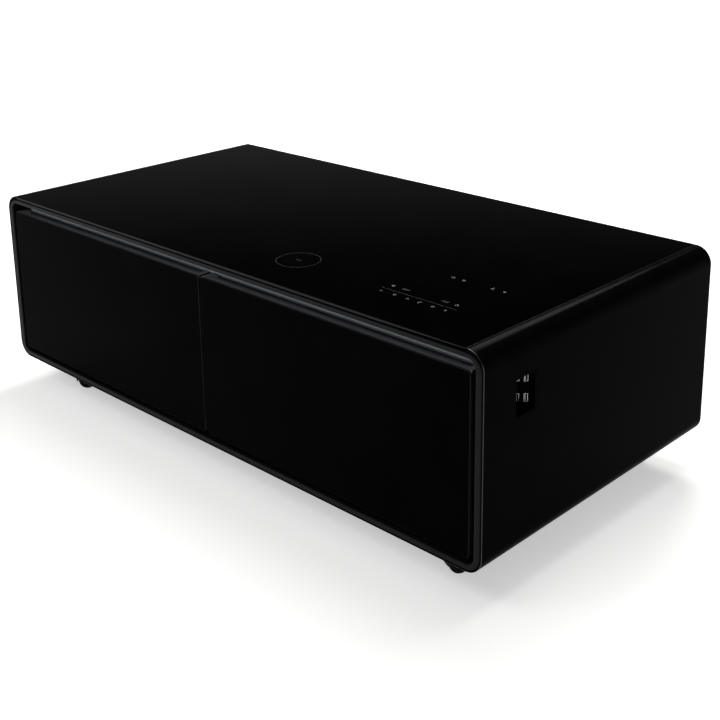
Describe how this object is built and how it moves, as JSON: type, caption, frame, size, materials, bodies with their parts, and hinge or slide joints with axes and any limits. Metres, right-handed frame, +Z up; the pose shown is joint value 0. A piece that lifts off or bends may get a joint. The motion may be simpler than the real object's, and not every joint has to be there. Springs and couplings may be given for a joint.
{
  "type": "refrigerator coffee table",
  "caption": "Low rectangular coffee table with rounded shell edges, black glass top and two refrigerated front drawers on swivel casters.",
  "frame": {"origin": "on the floor under the middle of the body", "axes": "+X to the right seen from the front, +Y to the back, +Z up"},
  "size_m": [1.3, 0.656, 0.433],
  "materials": {
    "shell_paint": "satin black lacquer on aluminium sheet",
    "black_glass": "polished glass, black on the back",
    "bezel": "satin dark grey moulding",
    "painted_steel": "black powder coat",
    "rail_metal": "dark anodised",
    "diffuser": "frosted diffuser",
    "foam": "rigid polyurethane foam",
    "liner": "white thermoformed polystyrene",
    "black_plastic": "moulded, fine texture",
    "handle_metal": "dark grey satin anodised",
    "seal": "soft magnetic seal",
    "zinc_steel": "zinc plated",
    "compressor_paint": "black enamel",
    "bare_aluminium": "mill finish",
    "copper": "drawn copper tube",
    "circuit_board": "green solder mask",
    "wheel_tread": "satin black tread"
  },
  "bodies": {
    "cabinet": {"outer_shell": "shell_paint", "top_glass": "black_glass", "front_bezel": "bezel", "face_frame": "painted_steel", "light_rail": "rail_metal", "light_strip": "diffuser", "foam_body": "foam", "left_liner": "liner", "right_liner": "liner", "evaporator_plate": "bare_aluminium", "touch_board": "circuit_board", "charger_coil": "black_plastic", "socket_bezel": "black_plastic", "usb_sockets": "zinc_steel", "base_tray": "zinc_steel", "compressor": "compressor_paint", "condenser": "bare_aluminium", "fan_shroud": "black_plastic", "control_board": "circuit_board", "suction_pipe": "copper", "discharge_pipe": "copper", "back_cover": "black_plastic", "mains_inlet": "black_plastic", "left_runner_outer_a": "zinc_steel", "left_runner_outer_b": "zinc_steel", "right_runner_outer_a": "zinc_steel", "right_runner_outer_b": "zinc_steel", "front_left_caster_plate": "zinc_steel", "front_right_caster_plate": "zinc_steel", "rear_left_caster_plate": "zinc_steel", "rear_right_caster_plate": "zinc_steel"},
    "left_drawer": {"left_drawer_glass": "black_glass", "left_drawer_casing": "black_plastic", "left_drawer_handle": "handle_metal", "left_drawer_inner_panel": "liner", "left_drawer_gasket": "seal", "left_drawer_tub": "liner", "left_runner_inner_a": "zinc_steel", "left_runner_inner_b": "zinc_steel"},
    "left_runners": {"left_runner_middle_a": "zinc_steel", "left_runner_middle_b": "zinc_steel"},
    "right_drawer": {"right_drawer_glass": "black_glass", "right_drawer_casing": "black_plastic", "right_drawer_handle": "handle_metal", "right_drawer_inner_panel": "liner", "right_drawer_gasket": "seal", "right_drawer_tub": "liner", "right_runner_inner_a": "zinc_steel", "right_runner_inner_b": "zinc_steel"},
    "right_runners": {"right_runner_middle_a": "zinc_steel", "right_runner_middle_b": "zinc_steel"},
    "fan": {"fan_rotor": "black_plastic"},
    "front_left_swivel": {"front_left_caster_hood": "black_plastic"},
    "front_left_wheels": {"front_left_caster_wheels": "wheel_tread"},
    "front_right_swivel": {"front_right_caster_hood": "black_plastic"},
    "front_right_wheels": {"front_right_caster_wheels": "wheel_tread"},
    "rear_left_swivel": {"rear_left_caster_hood": "black_plastic"},
    "rear_left_wheels": {"rear_left_caster_wheels": "wheel_tread"},
    "rear_right_swivel": {"rear_right_caster_hood": "black_plastic"},
    "rear_right_wheels": {"rear_right_caster_wheels": "wheel_tread"}
  },
  "joints": [
    {"name": "left_drawer_slide", "type": "slide", "parent": "cabinet", "child": "left_drawer", "axis": [0, -1, 0], "range_m": [0, 0.36]},
    {"name": "left_runner_slide", "type": "slide", "parent": "cabinet", "child": "left_runners", "axis": [0, -1, 0], "range_m": [0, 0.18]},
    {"name": "right_drawer_slide", "type": "slide", "parent": "cabinet", "child": "right_drawer", "axis": [0, -1, 0], "range_m": [0, 0.36]},
    {"name": "right_runner_slide", "type": "slide", "parent": "cabinet", "child": "right_runners", "axis": [0, -1, 0], "range_m": [0, 0.18]},
    {"name": "fan_spin", "type": "hinge", "parent": "cabinet", "child": "fan", "pos_m": [0.21, 0.243, 0.178], "axis": [0, 1, 0], "continuous": true},
    {"name": "front_left_caster_swivel", "type": "hinge", "parent": "cabinet", "child": "front_left_swivel", "pos_m": [-0.53, -0.263, 0.05], "axis": [0, 0, 1], "continuous": true},
    {"name": "front_left_wheel_spin", "type": "hinge", "parent": "front_left_swivel", "child": "front_left_wheels", "pos_m": [-0.52282, -0.24759, 0.02], "axis": [0.9063, -0.4226, 0], "continuous": true},
    {"name": "front_right_caster_swivel", "type": "hinge", "parent": "cabinet", "child": "front_right_swivel", "pos_m": [0.53, -0.263, 0.05], "axis": [0, 0, 1], "continuous": true},
    {"name": "front_right_wheel_spin", "type": "hinge", "parent": "front_right_swivel", "child": "front_right_wheels", "pos_m": [0.53718, -0.24759, 0.02], "axis": [0.9063, -0.4226, 0], "continuous": true},
    {"name": "rear_left_caster_swivel", "type": "hinge", "parent": "cabinet", "child": "rear_left_swivel", "pos_m": [-0.53, 0.263, 0.05], "axis": [0, 0, 1], "continuous": true},
    {"name": "rear_left_wheel_spin", "type": "hinge", "parent": "rear_left_swivel", "child": "rear_left_wheels", "pos_m": [-0.52282, 0.27841, 0.02], "axis": [0.9063, -0.4226, 0], "continuous": true},
    {"name": "rear_right_caster_swivel", "type": "hinge", "parent": "cabinet", "child": "rear_right_swivel", "pos_m": [0.53, 0.263, 0.05], "axis": [0, 0, 1], "continuous": true},
    {"name": "rear_right_wheel_spin", "type": "hinge", "parent": "rear_right_swivel", "child": "rear_right_wheels", "pos_m": [0.53718, 0.27841, 0.02], "axis": [0.9063, -0.4226, 0], "continuous": true}
  ],
  "couplings": [
    {"joint": "left_runner_slide", "follows": "left_drawer_slide", "ratio": 0.5},
    {"joint": "right_runner_slide", "follows": "right_drawer_slide", "ratio": 0.5}
  ]
}
